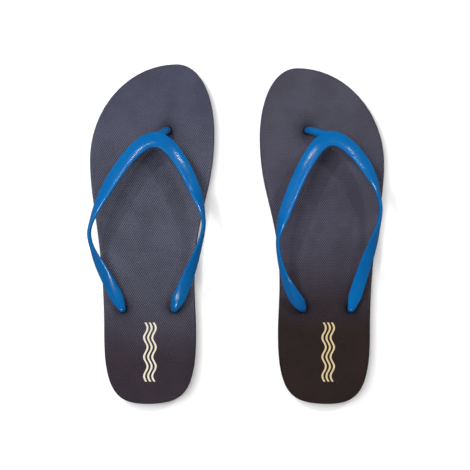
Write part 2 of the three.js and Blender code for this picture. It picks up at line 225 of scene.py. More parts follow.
for sandal in SANDALS:
    medial, lateral = sole_sides(sandal)
    loop, _ = resample(np.concatenate([medial, lateral[::-1]]), 1.0)
    sandal["medial_edge"], sandal["lateral_edge"], sandal["outline"] = medial, lateral, loop[:-1]
    low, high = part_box(sandal["name"] + "_footbed")
    middle = low.x / MM + BALL_LATERAL if sandal["mirror"] > 0 else high.x / MM - BALL_LATERAL
    sandal["place"] = np.array([middle, low.y / MM, 0])
    toe_hole, rear_holes, rear_y = sandal["toe_hole"], sandal["rear_holes"], REAR_HOLE_FROM_BACK
    toe_y = sandal["length"] - toe_hole["from_toe"]
    sandal["holes"] = {
        "toe": (side_x(medial, toe_y) - toe_hole["from_medial"], toe_y),
        "medial": (side_x(medial, rear_y) - rear_holes["from_medial"], rear_y),
        "lateral": (side_x(lateral, rear_y) + rear_holes["from_lateral"], rear_y),
    }
    print(sandal["name"], "outline points", len(sandal["outline"]), "place", sandal["place"].round(2))

# %% [markdown]
# ## From arrays to pieces
#
# Every surface below is worked out as blocks of points and triangles. Blocks meet where they share
# places, so welding equal places closes the surface, and the sharp, flat-shaded facets of an emboss can
# stand next to smoothly shaded rims in the same mesh. The sandal's own drawing is turned into the shared
# frame at the end, where the mirrored sandal's triangles are turned round too.

# %% Mesh helpers


def tube(rings):
    """Triangles of the wall between successive closed rings; rings is (rows, count, 3)."""
    rows, count = rings.shape[:2]
    i = np.arange(count)
    j = np.roll(i, -1)
    base = (np.arange(rows - 1) * count)[:, None]
    a, b, c, d = base + i, base + j, base + count + j, base + count + i
    return np.concatenate([np.stack([a, b, c], -1).reshape(-1, 3), np.stack([a, c, d], -1).reshape(-1, 3)])


def circle(centre, radius, count=48):
    """Points on a circle, anticlockwise."""
    angle = np.linspace(0, 2 * np.pi, count, endpoint=False)
    return np.array(centre) + radius * np.stack([np.cos(angle), np.sin(angle)], axis=1)


def at_height(loop, height):
    """Plan points lifted to a height, which is one number or one for each point."""
    return np.column_stack([loop, np.broadcast_to(height, len(loop))])


def block(points, triangles, smooth=True, relief=0.0, stain=0.0):
    """One patch of surface with its shading, its relief from -1 in pits to 1 on ridges, and its painted
    shade and grime near the stems.
    """
    relief = np.broadcast_to(np.asarray(relief, float), len(points))
    stain = np.broadcast_to(np.asarray(stain, float), len(points))
    return {"points": points, "triangles": triangles, "smooth": smooth, "relief": relief, "stain": stain}


def wall(rings):
    """The smooth wall between successive closed rings."""
    rings = np.asarray(rings)
    return block(rings.reshape(-1, 3), tube(rings))


def fan(first, count):
    """Closes one end ring with triangles from its first point."""
    i = np.arange(1, count - 1)
    return np.stack([np.full(count - 2, first), first + i, first + i + 1], axis=1)


def end_caps(rings):
    """A fan over the first ring and another over the last."""
    rows, count = rings.shape[:2]
    caps = np.concatenate([fan(0, count), fan((rows - 1) * count, count)])
    return block(rings.reshape(-1, 3), caps)


def hole_walls(holes, start, finish):
    """The walls of round holes between two heights, each a function of the hole's plan points."""
    return [wall([at_height(hole, start(hole)), at_height(hole, finish(hole))]) for hole in holes]


def piece(name, sandal, blocks):
    """Welds blocks into one closed mesh in the shared frame, in metres, facing outwards."""
    offsets = np.cumsum([0] + [len(b["points"]) for b in blocks])
    points = np.concatenate([b["points"] for b in blocks])
    triangles = np.concatenate([b["triangles"] + first for b, first in zip(blocks, offsets)])
    smooth = np.concatenate([np.broadcast_to(b["smooth"], len(b["triangles"])) for b in blocks])
    points = (points * (sandal["mirror"], 1, 1) + sandal["place"]) * MM
    _, first, where = np.unique(np.round(points / 2e-8), axis=0, return_index=True, return_inverse=True)
    triangles = where.reshape(-1)[triangles]
    real = (triangles[:, 0] != triangles[:, 1]) & (triangles[:, 1] != triangles[:, 2])
    real &= triangles[:, 0] != triangles[:, 2]
    triangles, smooth = triangles[real], smooth[real]
    mesh = bpy.data.meshes.new(name)
    mesh.vertices.add(len(first))
    mesh.vertices.foreach_set("co", points[first].ravel())
    mesh.loops.add(triangles.size)
    mesh.loops.foreach_set("vertex_index", triangles.ravel())
    mesh.polygons.add(len(triangles))
    mesh.polygons.foreach_set("loop_start", np.arange(0, triangles.size, 3))
    mesh.polygons.foreach_set("use_smooth", smooth)
    for key in ("relief", "stain"):
        values = np.concatenate([b[key] for b in blocks])[first]
        mesh.attributes.new(key, "FLOAT", "POINT").data.foreach_set("value", values)
    mesh.update(calc_edges=True)
    face_outwards(mesh)
    obj = bpy.data.objects.new(name, mesh)
    bpy.context.scene.collection.objects.link(obj)
    return obj


def face_outwards(mesh):
    """Turns a closed mesh's faces so that their normals point out."""
    work = bmesh.new()
    work.from_mesh(mesh)
    bmesh.ops.recalc_face_normals(work, faces=work.faces)
    work.to_mesh(mesh)
    work.free()


def open_edges(mesh):
    """How many edges don't join exactly two faces: 0 on a closed surface."""
    work = bmesh.new()
    work.from_mesh(mesh)
    count = sum(len(edge.link_faces) != 2 for edge in work.edges)
    work.free()
    return count


def make_both(part, builder):
    """Builds one kind of piece for each sandal and prints what it made."""
    for sandal in SANDALS:
        sandal[part] = builder(sandal)
        mesh = sandal[part].data
        print(sandal[part].name, len(mesh.polygons), "faces, open edges", open_edges(mesh))


# %% [markdown]
# ## A patterned sheet cut to an outline
#
# A roll of embossed foam has its pattern everywhere, and the die then cuts the sole out of it. The mesh
# is made the same way: a lattice with one point on every ridge crossing and in every pit, cut back to
# the cells that lie wholly inside, and a plain border stitched between the lattice and the cut edge. A
# Delaunay triangulation does the stitching, because it takes any two outlines. Each cell is split along
# the diagonal that joins its two high points, so ridges run unbroken in both directions.

# %% Panel helpers


def inside(points, loop):
    """Even-odd rule: a point is inside where a line to its right crosses the loop an odd number of times."""
    a, b = loop, np.roll(loop, -1, axis=0)
    slope = (b[:, 0] - a[:, 0]) / np.where(b[:, 1] == a[:, 1], 1, b[:, 1] - a[:, 1])
    result = []
    for part in np.array_split(points, max(1, len(points) // 2000)):
        x, y = part[:, :1], part[:, 1:]
        crosses = (a[:, 1] > y) != (b[:, 1] > y)
        right = x < a[:, 0] + (y - a[:, 1]) * slope
        result.append(np.sum(crosses & right, axis=1) % 2 == 1)
    return np.concatenate(result)


def depth_inside(points, loop):
    """Distance from each point to the nearest segment of a loop, negative outside the loop."""
    a = loop
    d = np.roll(loop, -1, axis=0) - a
    squared = np.sum(d * d, axis=1)
    result = []
    for part in np.array_split(points, max(1, len(points) // 1000)):
        rel = part[:, None, :] - a[None]
        u = np.clip(np.sum(rel * d, axis=2) / squared, 0, 1)
        gap = rel - u[..., None] * d
        result.append(np.sqrt(np.min(np.sum(gap * gap, axis=2), axis=1)))
    return np.concatenate(result) * np.where(inside(points, loop), 1, -1)


def clearance(grid, loop, margin, centres, radius):
    """For each grid point, its distance past a margin inside the loop or from round holes, the lesser."""
    flat = grid.reshape(-1, 2)
    depth = depth_inside(flat, loop) - margin
    for centre in centres:
        depth = np.minimum(depth, np.linalg.norm(flat - centre, axis=1) - radius)
    return depth.reshape(grid.shape[:2])


def stitched(loops, grid, usable, cell_of, centred=False):
    """Lattice cells whose four corners are usable, joined to the loops around them.

    loops[0] is the outer edge and the others are holes. Returns plan points (lattice first, then the
    loops, then the middles of centred cells), triangles, which of them belong to the lattice, and the
    (i, j) of each lattice point and each cell. cell_of finds the cell of any place."""
    cell = usable[:-1, :-1] & usable[1:, :-1] & usable[1:, 1:] & usable[:-1, 1:]
    used = np.zeros_like(usable)
    for part in (used[:-1, :-1], used[1:, :-1], used[1:, 1:], used[:-1, 1:]):
        part |= cell
    number = np.full(usable.shape, -1)
    number[used] = np.arange(used.sum())
    i, j = np.nonzero(cell)
    corners = [number[i, j], number[i + 1, j], number[i + 1, j + 1], number[i, j + 1]]
    lattice = lattice_triangles(corners, (i + j) % 2 == 0)
    middles = np.zeros((0, 2))
    if centred:
        first = used.sum() + sum(len(loop) for loop in loops)
        middle = first + np.arange(len(i))
        lattice = np.concatenate([np.stack([corners[k - 1], corners[k], middle], 1) for k in range(4)])
        middles = (grid[i, j] + grid[i + 1, j + 1]) / 2
    edges = np.sort(np.concatenate([np.stack([corners[k], corners[k - 1]], 1) for k in range(4)]), axis=1)
    edges, count = np.unique(edges, axis=0, return_counts=True)
    border_edges = edges[count == 1]
    border = np.unique(border_edges)
    loop_points = np.concatenate(loops)
    points = np.concatenate([grid[used], loop_points, middles])
    source = np.concatenate([border, used.sum() + np.arange(len(loop_points))]).astype(int)
    position = np.full(len(points), -1)
    position[source] = np.arange(len(source))
    links = [tuple(edge) for edge in position[border_edges]]
    first = len(border)
    for loop in loops:
        links += [(first + k, first + (k + 1) % len(loop)) for k in range(len(loop))]
        first += len(loop)
    plan = [mathutils.Vector(point) for point in points[source]]
    cut = mathutils.geometry.delaunay_2d_cdt(plan, links, [], 0, 1e-6)
    origin = np.array([source[ids[0]] if ids else -1 for ids in cut[3]])
    faces = origin[np.array([face for face in cut[2] if len(face) == 3])]
    middle = points[faces].mean(axis=1)
    keep = inside(middle, loops[0])
    for hole in loops[1:]:
        keep &= ~inside(middle, hole)
    a, b = cell_of(middle)
    within = (a >= 0) & (b >= 0) & (a < cell.shape[0]) & (b < cell.shape[1])
    keep &= ~(within & cell[np.clip(a, 0, cell.shape[0] - 1), np.clip(b, 0, cell.shape[1] - 1)])
    triangles = np.concatenate([lattice, faces[keep]])
    is_lattice = np.arange(len(triangles)) < len(lattice)
    return points, triangles, is_lattice, np.stack(np.nonzero(used), 1), np.stack([i, j], 1)


def lattice_triangles(corners, high_first):
    """Two triangles a cell, split along the diagonal between its high corners."""
    a, b, c, d = corners
    one = np.where(high_first[:, None], np.stack([a, b, c], 1), np.stack([a, b, d], 1))
    two = np.where(high_first[:, None], np.stack([a, c, d], 1), np.stack([b, c, d], 1))
    return np.concatenate([one, two])


def plain_fill(loops):
    """Triangles that fill a loop with holes, with no points of their own."""

    def nowhere(places):
        return np.full((2, len(places)), -1)

    return stitched(loops, np.zeros((2, 2, 2)), np.zeros((2, 2), bool), nowhere)[:2]


# %% [markdown]
# ## Footbed sheet
#
# The top sheet is EVA foam with a skin that was pressed against an engraved roller: diamonds about
# 1.6 mm across and 2.3 mm long, with a pit between the ridges. It could be a bump map, but then the
# edge of the sheet and the exported mesh would be smooth, so the ridges are real facets here. Near the
# edge the die has rounded and polished the foam, and round each stem the foam is drawn down into the
# hole, so the pattern fades out there.

# %% Footbed builder
EMBOSS = 0.28
STEM_HOLE = STEM_RADIUS + 0.45
RIM_START = 1.1
RIM_PROFILE = [(1.1, 0), (0.8, 0.03), (0.52, 0.12), (0.28, 0.28), (0.1, 0.55), (0, 1.0)]
SHEET_FOOT = [(0, 0.25), (0.12, 0.08), (0.3, 0)]
PATTERN_START, PATTERN_FULL = 0.4, 1.8
HEEL_WEAR, HEEL_WEAR_FROM, HEEL_WEAR_TO = 0.4, 20, 105
TOE_WEAR, TOE_WEAR_FROM, TOE_WEAR_TO = 0.28, 160, 235
DIMPLE_DEPTH, DIMPLE_REACH = 1.8, 4.4
STEM_SHADE_REACH = 4.5


def stem_gaps(sandal, plan):
    """Distance from each place to the rim of each stem hole, 0 inside it."""
    gaps = [np.linalg.norm(plan - centre, axis=1) - STEM_HOLE for centre in sandal["holes"].values()]
    return np.clip(gaps, 0, None)


def dimple(sandal, plan):
    """How far the foam is drawn down near the stems: depth * exp(-(gap / reach)^1.5) for each hole."""
    return np.sum(DIMPLE_DEPTH * np.exp(-((stem_gaps(sandal, plan) / DIMPLE_REACH) ** 1.5)), axis=0)


def diamond_lattice(sandal):
    """Places (i, j) * half a diamond, turned by the angle at which the roll met the die.

    Returns the places and a function that finds the cell of any place."""
    step = np.array(sandal["diamond"]) / 2
    turn = np.radians(sandal["diamond_turn"])
    axes = np.array([[np.cos(turn), np.sin(turn)], [-np.sin(turn), np.cos(turn)]])
    first = np.array([-BALL_LATERAL - 12, -8])
    columns = np.arange(int((BALL_LATERAL + BALL_MEDIAL + 24) / step[0]))
    rows = np.arange(int((sandal["length"] + 16) / step[1]))
    grid = np.stack(np.meshgrid(columns, rows, indexing="ij"), axis=-1) * step

    def cell_of(places):
        return np.floor((places - first) @ axes.T / step).astype(int).T

    return grid @ axes + first, cell_of


def footbed_sheet(sandal):
    """The embossed top, its rolled rim, the cut edge, the underside and the three stem holes."""
    outline = sandal["outline"]
    edge = inset(outline, RIM_START)
    holes = [circle(centre, STEM_HOLE) for centre in sandal["holes"].values()]
    grid, cell_of = diamond_lattice(sandal)
    depth = clearance(grid, edge, 0, sandal["holes"].values(), STEM_HOLE)
    usable = depth > PATTERN_START
    plan, triangles, is_lattice, index, cells = stitched([edge] + holes, grid, usable, cell_of, True)
    near_edge = smoothstep(depth, PATTERN_START, PATTERN_FULL)
    fade = np.zeros(len(plan))
    fade[: len(index)] = near_edge[index[:, 0], index[:, 1]]
    fade[len(plan) - len(cells) :] = near_edge[cells[:, 0], cells[:, 1]]
    sign = np.ones(len(plan))
    sign[: len(index)] = np.where(index.sum(axis=1) % 2 == 0, 1, -1)
    sign[len(plan) - len(cells) :] = np.where(cells.sum(axis=1) % 2 == 0, 1, sandal["weak_ridge"])
    fade *= lerp(HEEL_WEAR, 1, smoothstep(plan[:, 1], HEEL_WEAR_FROM, HEEL_WEAR_TO))
    fade *= lerp(1, TOE_WEAR, smoothstep(plan[:, 1], TOE_WEAR_FROM, TOE_WEAR_TO)) * sandal["emboss"]
    relief = sign * fade
    height = footbed_top(sandal, plan[:, 1]) - dimple(sandal, plan) + EMBOSS * (relief - fade)
    # Painted shade, partly grime: 1 at each stem hole's rim, fading over a few millimetres.
    stain = np.exp(-((stem_gaps(sandal, plan).min(axis=0) / STEM_SHADE_REACH) ** 1.3))
    top = block(at_height(plan, height), triangles, ~is_lattice, relief, stain)
    return piece(sandal["name"] + "_footbed_sheet", sandal, [top] + sheet_edges(sandal, outline, holes))


def sheet_edges(sandal, outline, holes):
    """The rolled rim, the cut edge down to the glue line, the underside and the walls of the holes."""

    def top(loop):
        return footbed_top(sandal, loop[:, 1]) - dimple(sandal, loop)

    def bottom(loop):
        return footbed_top(sandal, loop[:, 1]) - FOOTBED_THICKNESS

    rings = []
    for distance, drop in RIM_PROFILE:
        loop = inset(outline, distance)
        rings.append(at_height(loop, top(loop) - drop))
    for distance, lift in SHEET_FOOT:
        loop = inset(outline, distance)
        rings.append(at_height(loop, bottom(loop) + lift))
    plan, triangles = plain_fill([loop] + holes)
    under = block(at_height(plan, bottom(plan)), triangles)
    return [wall(rings), under] + hole_walls(holes, top, bottom)


make_both("footbed", footbed_sheet)

# %% [markdown]
# ## Midsole
#
# The midsole is the thick foam layer. A die cuts it, and a blade pushing through foam leaves the wall
# very slightly hollow with a soft edge at each glue line. It is a wall of rings between two flat faces,
# with holes for the three stems.

# %% Midsole builder
WALL_HOLLOW, GLUE_EDGE = 0.3, 0.3
WALL_ROWS = np.concatenate([[0, 0.01, 0.03], np.linspace(0.08, 0.92, 8), [0.97, 0.99, 1]])


def midsole_foam(sandal):
    """Rings from the outsole up to the footbed: inset = hollow * sin(pi u) + the eased glue edges."""

    def lower(loop):
        return OUTSOLE_THICKNESS + 0 * loop[:, 1]

    def upper(loop):
        return footbed_top(sandal, loop[:, 1]) - FOOTBED_THICKNESS

    rings = []
    for u in WALL_ROWS:
        ease = GLUE_EDGE * (1 - smoothstep(min(u, 1 - u), 0, 0.035))
        loop = inset(sandal["outline"], WALL_HOLLOW * np.sin(np.pi * u) + ease)
        rings.append(at_height(loop, lerp(lower(loop), upper(loop), u)))
    holes = [circle(centre, STEM_HOLE) for centre in sandal["holes"].values()]
    blocks = [wall(rings)]
    for ring, height in ((rings[0], lower), (rings[-1], upper)):
        plan, triangles = plain_fill([ring[:, :2]] + holes)
        blocks.append(block(at_height(plan, height(plan)), triangles))
    return piece(sandal["name"] + "_midsole_foam", sandal, blocks + hole_walls(holes, lower, upper))


make_both("midsole", midsole_foam)

# %% [markdown]
# ## Outsole
#
# The outsole is a firmer sheet with zigzag grooves that let water out from under the foot. Rows of the
# lattice follow the zigzag, so a groove's floor and its two sloping walls are rows of points, and the
# grooves stay crisp with few triangles. They run out before the edge and before the three round pockets
# that hold the strap's discs.

# %% Outsole builder
GROOVE_DEPTH, GROOVE_PITCH, GROOVE_START = 1.4, 15, 6
GROOVE_ROWS = [(0, 0), (0.55, 1), (2.05, 1), (2.6, 0), (5.7, 0), (8.8, 0), (11.9, 0)]
ZIGZAG_LENGTH, ZIGZAG_RISE = 26, 7
TREAD_MARGIN, TREAD_COLUMN = 6, 1.3
POCKET_LAND, GROOVE_RUN_OUT = 3, 2.2
OUTSOLE_WALL = [(0.6, 0), (0.22, 0.12), (0.03, 0.5), (0, 1), (0, 3.6), (0.1, 3.88), (0.3, OUTSOLE_THICKNESS)]


def zigzag(x):
    """A triangle wave across the sole: 0 at the reach's left end, rising to its height in half a length."""
    u = np.mod((x + BALL_MEDIAL + BALL_LATERAL) / ZIGZAG_LENGTH, 1)
    return ZIGZAG_RISE * (1 - np.abs(2 * u - 1))


def tread_grid(sandal):
    """Lattice points (x, y + zigzag(x)) and, for each row, its share of the groove's depth."""
    starts = np.arange(GROOVE_START - GROOVE_PITCH, sandal["length"], GROOVE_PITCH)
    rows = (starts[:, None] + [place for place, _ in GROOVE_ROWS]).ravel()
    share = np.tile([depth for _, depth in GROOVE_ROWS], len(starts))
    columns = np.arange(-BALL_MEDIAL - BALL_LATERAL, BALL_MEDIAL + 2, TREAD_COLUMN)
    x, y = np.meshgrid(columns, rows, indexing="ij")
    return np.stack([x, y + zigzag(x)], axis=-1), rows, columns, share


def outsole_tread(sandal):
    """The grooved underside, the wall, the flat top and the three disc pockets."""
    outline = sandal["outline"]
    centres = sandal["holes"].values()
    pockets = [circle(centre, DISC_POCKET_RADIUS, 64) for centre in centres]
    grid, rows, columns, share = tread_grid(sandal)
    depth = clearance(grid, outline, TREAD_MARGIN, centres, DISC_POCKET_RADIUS + POCKET_LAND)

    def cell_of(places):
        across = np.floor((places[:, 0] - columns[0]) / TREAD_COLUMN).astype(int)
        along = np.searchsorted(rows, places[:, 1] - zigzag(places[:, 0]), side="right") - 1
        return across, along

    edges = [inset(outline, distance) for distance, _ in OUTSOLE_WALL]
    rings = [at_height(edge, z) for edge, (_, z) in zip(edges, OUTSOLE_WALL)]
    plan, triangles, _, index, _ = stitched([edges[0]] + pockets, grid, depth > 0, cell_of)
    height = np.zeros(len(plan))
    fade = smoothstep(depth[index[:, 0], index[:, 1]], 0, GROOVE_RUN_OUT)
    height[: len(index)] = GROOVE_DEPTH * share[index[:, 1]] * fade
    under = block(at_height(plan, height), triangles, False, -height / GROOVE_DEPTH)
    plan, triangles = plain_fill([edges[-1]] + pockets)
    blocks = [under, wall(rings), block(at_height(plan, OUTSOLE_THICKNESS), triangles)]
    for pocket in pockets:
        blocks.append(wall([at_height(pocket, 0), at_height(pocket, OUTSOLE_THICKNESS)]))
    return piece(sandal["name"] + "_outsole_tread", sandal, blocks)


make_both("outsole", outsole_tread)

# %% [markdown]
# ## Strap
#
# The strap is injection-moulded soft PVC. Its band lies flat where the two arms meet over the toes,
# turns on edge at the sides of the foot and lies over again towards the rear holes. The front half of
# the outer face has a finely knurled panel between two smooth raised borders; the rear half is glossy
# with a soft ridge along the middle and narrows into a round stem. One profile is carried along one path
# from disc to disc, so the whole band is a single surface, and width, lean, border and knurl are
# functions of the place along it. The toe post and the three discs are joined on with a boolean.

# %% Strap path
BAND_THICKNESS, APEX_WIDTH, SIDE_WIDTH, REAR_WIDTH = 3.2, 12.9, 8.8, 10.7
TAIL_WIDTH, TAIL_THICKNESS, TAIL_RISE = 5.9, 4.6, 3.1
TAPER_LENGTH = 10.5
APEX_HEIGHT, SIDE_HEIGHT = 23, 29
APEX_TILT, SIDE_TILT, REAR_TILT, TAIL_TILT = 24, 88, 22, 8
KNURL_STEP, PLAIN_STEP = 0.6, 0.9


def arm_path(sandal, apex, key):
    """One arm from the apex round the foot's side to the rear hole and down through the sole.

    Returns the points and, for each, [tilt, width, thickness, front share, tail share]."""
    arm, hole = sandal[key], sandal["holes"][key]
    side_edge = side_x(sandal[key + "_edge"], arm["from_back"])
    top = footbed_top(sandal, arm["from_back"]) + SIDE_HEIGHT
    side = np.array([side_edge + np.sign(side_edge) * arm["overhang"], arm["from_back"], top])
    tail = np.array([*hole, footbed_top(sandal, hole[1]) + TAIL_RISE])
    front = [
        apex,
        (lerp(apex[0], side[0], arm["front"][0]), apex[1], apex[2] + 4),
        (side[0], lerp(side[1], apex[1], arm["front"][1]), side[2]),
        side,
    ]
    approach = lerp(tail, side, arm["rear"][1])
    approach[2] = tail[2] + 8
    rear = [side, (side[0], lerp(side[1], tail[1], arm["rear"][0]), side[2]), approach, tail]
    t = np.linspace(0, 1, 300)
    front_tilt = lerp(APEX_TILT, SIDE_TILT, smoothstep(t, arm["turn"], 1))
    rear_tilt = lerp(lerp(SIDE_TILT, REAR_TILT, smoothstep(t, 0, 0.8)), TAIL_TILT, smoothstep(t, 0.7, 1))
    fuller = lerp(SIDE_WIDTH, REAR_WIDTH, smoothstep(t, 0, 0.5))
    taper = 1 - np.clip(np.linalg.norm(bezier(rear, t) - tail, axis=1) / TAPER_LENGTH, 0, 1)
    front_values = [front_tilt, lerp(APEX_WIDTH, SIDE_WIDTH, t), 0 * t + BAND_THICKNESS, 1 - t, 0 * t]
    rear_width, rear_thickness = lerp(fuller, TAIL_WIDTH, taper), lerp(BAND_THICKNESS, TAIL_THICKNESS, taper)
    rear_values = [rear_tilt, rear_width, rear_thickness, -t, 0 * t]
    stem = np.array([[*hole, z] for z in np.linspace(tail[2] - 1, OUTSOLE_THICKNESS - 2, 60)])
    ones = np.ones(60)
    stem_values = [TAIL_TILT * ones, 2 * STEM_RADIUS * ones, 2 * STEM_RADIUS * ones, -ones, ones]
    points = np.concatenate([bezier(front, t), bezier(rear, t)[1:], stem])
    values = [np.concatenate([a, b[1:], c]) for a, b, c in zip(front_values, rear_values, stem_values)]
    return points, values


def inward_direction(points, side):
    """Level direction across the path towards the middle of the foot, kept level down the stem."""
    along = np.gradient(points, axis=0)
    level = np.hypot(along[:, 0], along[:, 1])
    last = np.nonzero(level > 0.02 * level.max())[0].max()
    along[last + 1 :] = along[last]
    level = np.hypot(along[:, 0], along[:, 1])
    return np.column_stack([-along[:, 1] * side / level, along[:, 0] * side / level, 0 * level])


def smoothed(values, width):
    """A running average with a bell-shaped window, repeated end values outside."""
    reach = int(3 * width)
    window = np.exp(-0.5 * (np.arange(-reach, reach + 1) / width) ** 2)
    window /= window.sum()
    padded = np.pad(values, [(reach, reach)] + [(0, 0)] * (values.ndim - 1), mode="edge")
    if values.ndim == 1:
        return np.convolve(padded, window, "valid")
    return np.stack([np.convolve(column, window, "valid") for column in padded.T], axis=1)


def band_stations(sandal):
    """The whole band from the lateral disc over the apex to the medial disc, evenly smoothed."""
    toe = np.array(sandal["holes"]["toe"])
    plan = toe + sandal["apex"]
    apex = np.array([*plan, footbed_top(sandal, plan[1]) + APEX_HEIGHT])
    halves = []
    for key, side in (("lateral", 1), ("medial", -1)):
        points, values = arm_path(sandal, apex, key)
        points, values = resample(points, 0.1, values)
        inwards = inward_direction(points, side)
        halves.append((points, inwards, np.stack(values, axis=1)))
    parts = [np.concatenate([a[::-1], b[1:]]) for a, b in zip(*halves)]
    points, inwards, values = smoothed(parts[0], 14), smoothed(parts[1], 14), smoothed(parts[2], 10)
    near_apex = smoothstep(values[:, 3], 0.35, 0.8)
    eased = np.column_stack([smoothed(points[:, :2], sandal["apex_ease"] * 10), smoothed(points[:, 2], 60)])
    points = lerp(points, eased, near_apex[:, None])
    return apex, points, inwards, values


def chosen_stations(values, arc_step=0.1):
    """Indices along the band: close together where it is knurled, further apart where it is plain."""
    knurled = values[:, 3] > KNURL_END
    step = np.where(knurled, KNURL_STEP, PLAIN_STEP)
    progress = np.concatenate([[0], np.cumsum(arc_step / step)[:-1]])
    return np.searchsorted(progress, np.arange(0, progress[-1], 1.0))


# %% Strap profile
FRONT_POWER, REAR_POWER, STEM_POWER = 2.35, 2.1, 2.0
KNURL_END, KNURL = 0.06, 0.035
BORDER_HEIGHT, BORDER_WIDTH, BORDER_INSET = 0.2, 0.45, 0.9
RIDGE_HEIGHT, RIDGE_WIDTH = 0.2, 1.5
EDGE_Q = np.array([1, 0.992, 0.97, 0.935, 0.895, 0.855, 0.82])
PANEL_Q = np.linspace(-0.78, 0.78, 17)
TOP_Q = np.concatenate([-EDGE_Q, PANEL_Q, EDGE_Q[::-1]])
UNDER_Q = np.array([0.985, 0.94, 0.85, 0.65, 0.4, 0, -0.4, -0.65, -0.85, -0.94, -0.985])


def profile(values):
    """The band's cross-section at every station, as offsets across and up.

    Its face is half the thickness times (1 - |q|^n)^(1/n), with q from -1 to 1 across the width: a
    slightly squared oval in front and a true ellipse (n = 2) at the stems. A bell near each edge is the
    raised border, and a bell in the middle is the rear ridge. Every second point of the panel is sunk, so
    its cells are the knurl. Returns across, up and relief, each (stations, ring points)."""
    _, width, thickness, front, tail = (column[:, None] for column in values.T)
    exponent = lerp(REAR_POWER, FRONT_POWER, smoothstep(front, -0.15, 0.25))
    exponent = lerp(exponent, STEM_POWER, smoothstep(tail, 0, 0.6))
    q = np.concatenate([TOP_Q, UNDER_Q])[None]
    is_top = (np.arange(q.size) < TOP_Q.size)[None]
    curve = (1 - np.clip(np.abs(q), 0, 1) ** exponent) ** (1 / exponent)
    across = q * width / 2
    up = np.where(is_top, curve, -curve) * thickness / 2
    panel = smoothstep(front, KNURL_END - 0.02, KNURL_END + 0.16)
    from_edge = width / 2 - np.abs(across)
    border = np.exp(-(((from_edge - BORDER_INSET) / BORDER_WIDTH) ** 2)) * BORDER_HEIGHT
    ridge = np.exp(-((across / RIDGE_WIDTH) ** 2)) * RIDGE_HEIGHT
    rear = smoothstep(-front, 0.02, 0.3) * (1 - smoothstep(tail, 0, 0.3)) * (1 - smoothstep(-front, 0.8, 1))
    up = up + is_top * (panel * border + rear * ridge)
    ring = np.arange(q.size)[None]
    station = np.arange(len(values))[:, None]
    in_panel = (1 - smoothstep(np.abs(q), 0.55, 0.8)) * is_top
    knurl = np.where((ring + station) % 2 == 0, 1, -1) * in_panel * smoothstep(panel, 0.3, 1)
    up = up + KNURL * (knurl - np.abs(knurl))
    return across, up, knurl


def strap_band(sandal):
    """Rings of profile points: place + across * width direction + up * face normal."""
    apex, points, inwards, values = band_stations(sandal)
    along = unit(np.gradient(points, axis=0))
    tilt = np.radians(values[:, :1])
    across_dir = inwards * np.cos(tilt) + np.array([0, 0, 1]) * np.sin(tilt)
    across_dir = unit(across_dir - along * np.sum(across_dir * along, axis=1)[:, None])
    normal = np.cross(across_dir, along)
    pick = chosen_stations(values)
    across, up, knurl = profile(values[pick])
    rings = points[pick][:, None] + across[..., None] * across_dir[pick][:, None]
    rings = rings + up[..., None] * normal[pick][:, None]
    triangles, flat = band_triangles(knurl)
    body = block(rings.reshape(-1, 3), triangles, ~flat, knurl.ravel())
    return piece(sandal["name"] + "_strap_moulding", sandal, [body, end_caps(rings)]), apex


def band_triangles(knurl):
    """Two triangles a cell, split along the high diagonal, and which of them are knurled facets."""
    rows, count = knurl.shape
    i, j = np.meshgrid(np.arange(rows - 1), np.arange(count), indexing="ij")
    i, j = i.ravel(), j.ravel()
    k = (j + 1) % count
    corners = [i * count + j, (i + 1) * count + j, (i + 1) * count + k, i * count + k]
    triangles = lattice_triangles(corners, (i + j) % 2 == 0)
    flat = np.abs(knurl.ravel())[triangles].max(axis=1) > 0.02
    return triangles, flat


# %% [markdown]
# The toe post is a round pin that stands upright in its hole and then bends back and sideways to meet the
# underside of the apex, where the mould has a generous flare so that it doesn't tear. Each disc is turned
# from a small profile, with a rounded edge and a flat underside.

# %% Toe post, discs and the join
POST_HEAD, POST_SINK, POST_TOP = (6.2, 4.4), 1.2, 0.6
FLARE_POWER = 5
DISC_GAP, DISC_TOP_ROUND, DISC_LOW_ROUND, DISC_NECK = 0.3, 0.5, 0.9, 3.5


def toe_post(sandal, apex):
    """Rings along a bending path; their two radii grow as t^5 from the stem's to the flare's."""
    x, y = sandal["holes"]["toe"]
    foot = np.array([x, y, BALL_HEIGHT])
    head = apex - (0, 0, POST_SINK)
    low = (x, y, BALL_HEIGHT + APEX_HEIGHT / 2)
    middle = lerp(head, foot, 0.4)
    middle[2] = apex[2] - APEX_HEIGHT / 4
    path = np.concatenate([[[x, y, 2.0]], bezier([foot, low, middle, head], np.linspace(0, 1, 160))])
    path, _ = resample(path, 0.5)
    t = np.linspace(0, 1, len(path))
    along = unit(np.gradient(path, axis=0))
    sideways = unit(np.cross(np.array([0, 1, 0]), along))
    back = np.cross(along, sideways)
    angle = np.linspace(0, 2 * np.pi, 32, endpoint=False)
    wide = lerp(STEM_RADIUS, POST_HEAD[0], t**FLARE_POWER)[:, None, None]
    deep = lerp(STEM_RADIUS, POST_HEAD[1], t**FLARE_POWER)[:, None, None]
    rings = path[:, None] + wide * np.cos(angle)[None, :, None] * sideways[:, None]
    rings = rings + deep * np.sin(angle)[None, :, None] * back[:, None]
    rings[..., 2] = np.minimum(rings[..., 2], apex[2] + POST_TOP)
    return piece("post", sandal, [wall(rings), end_caps(rings)])


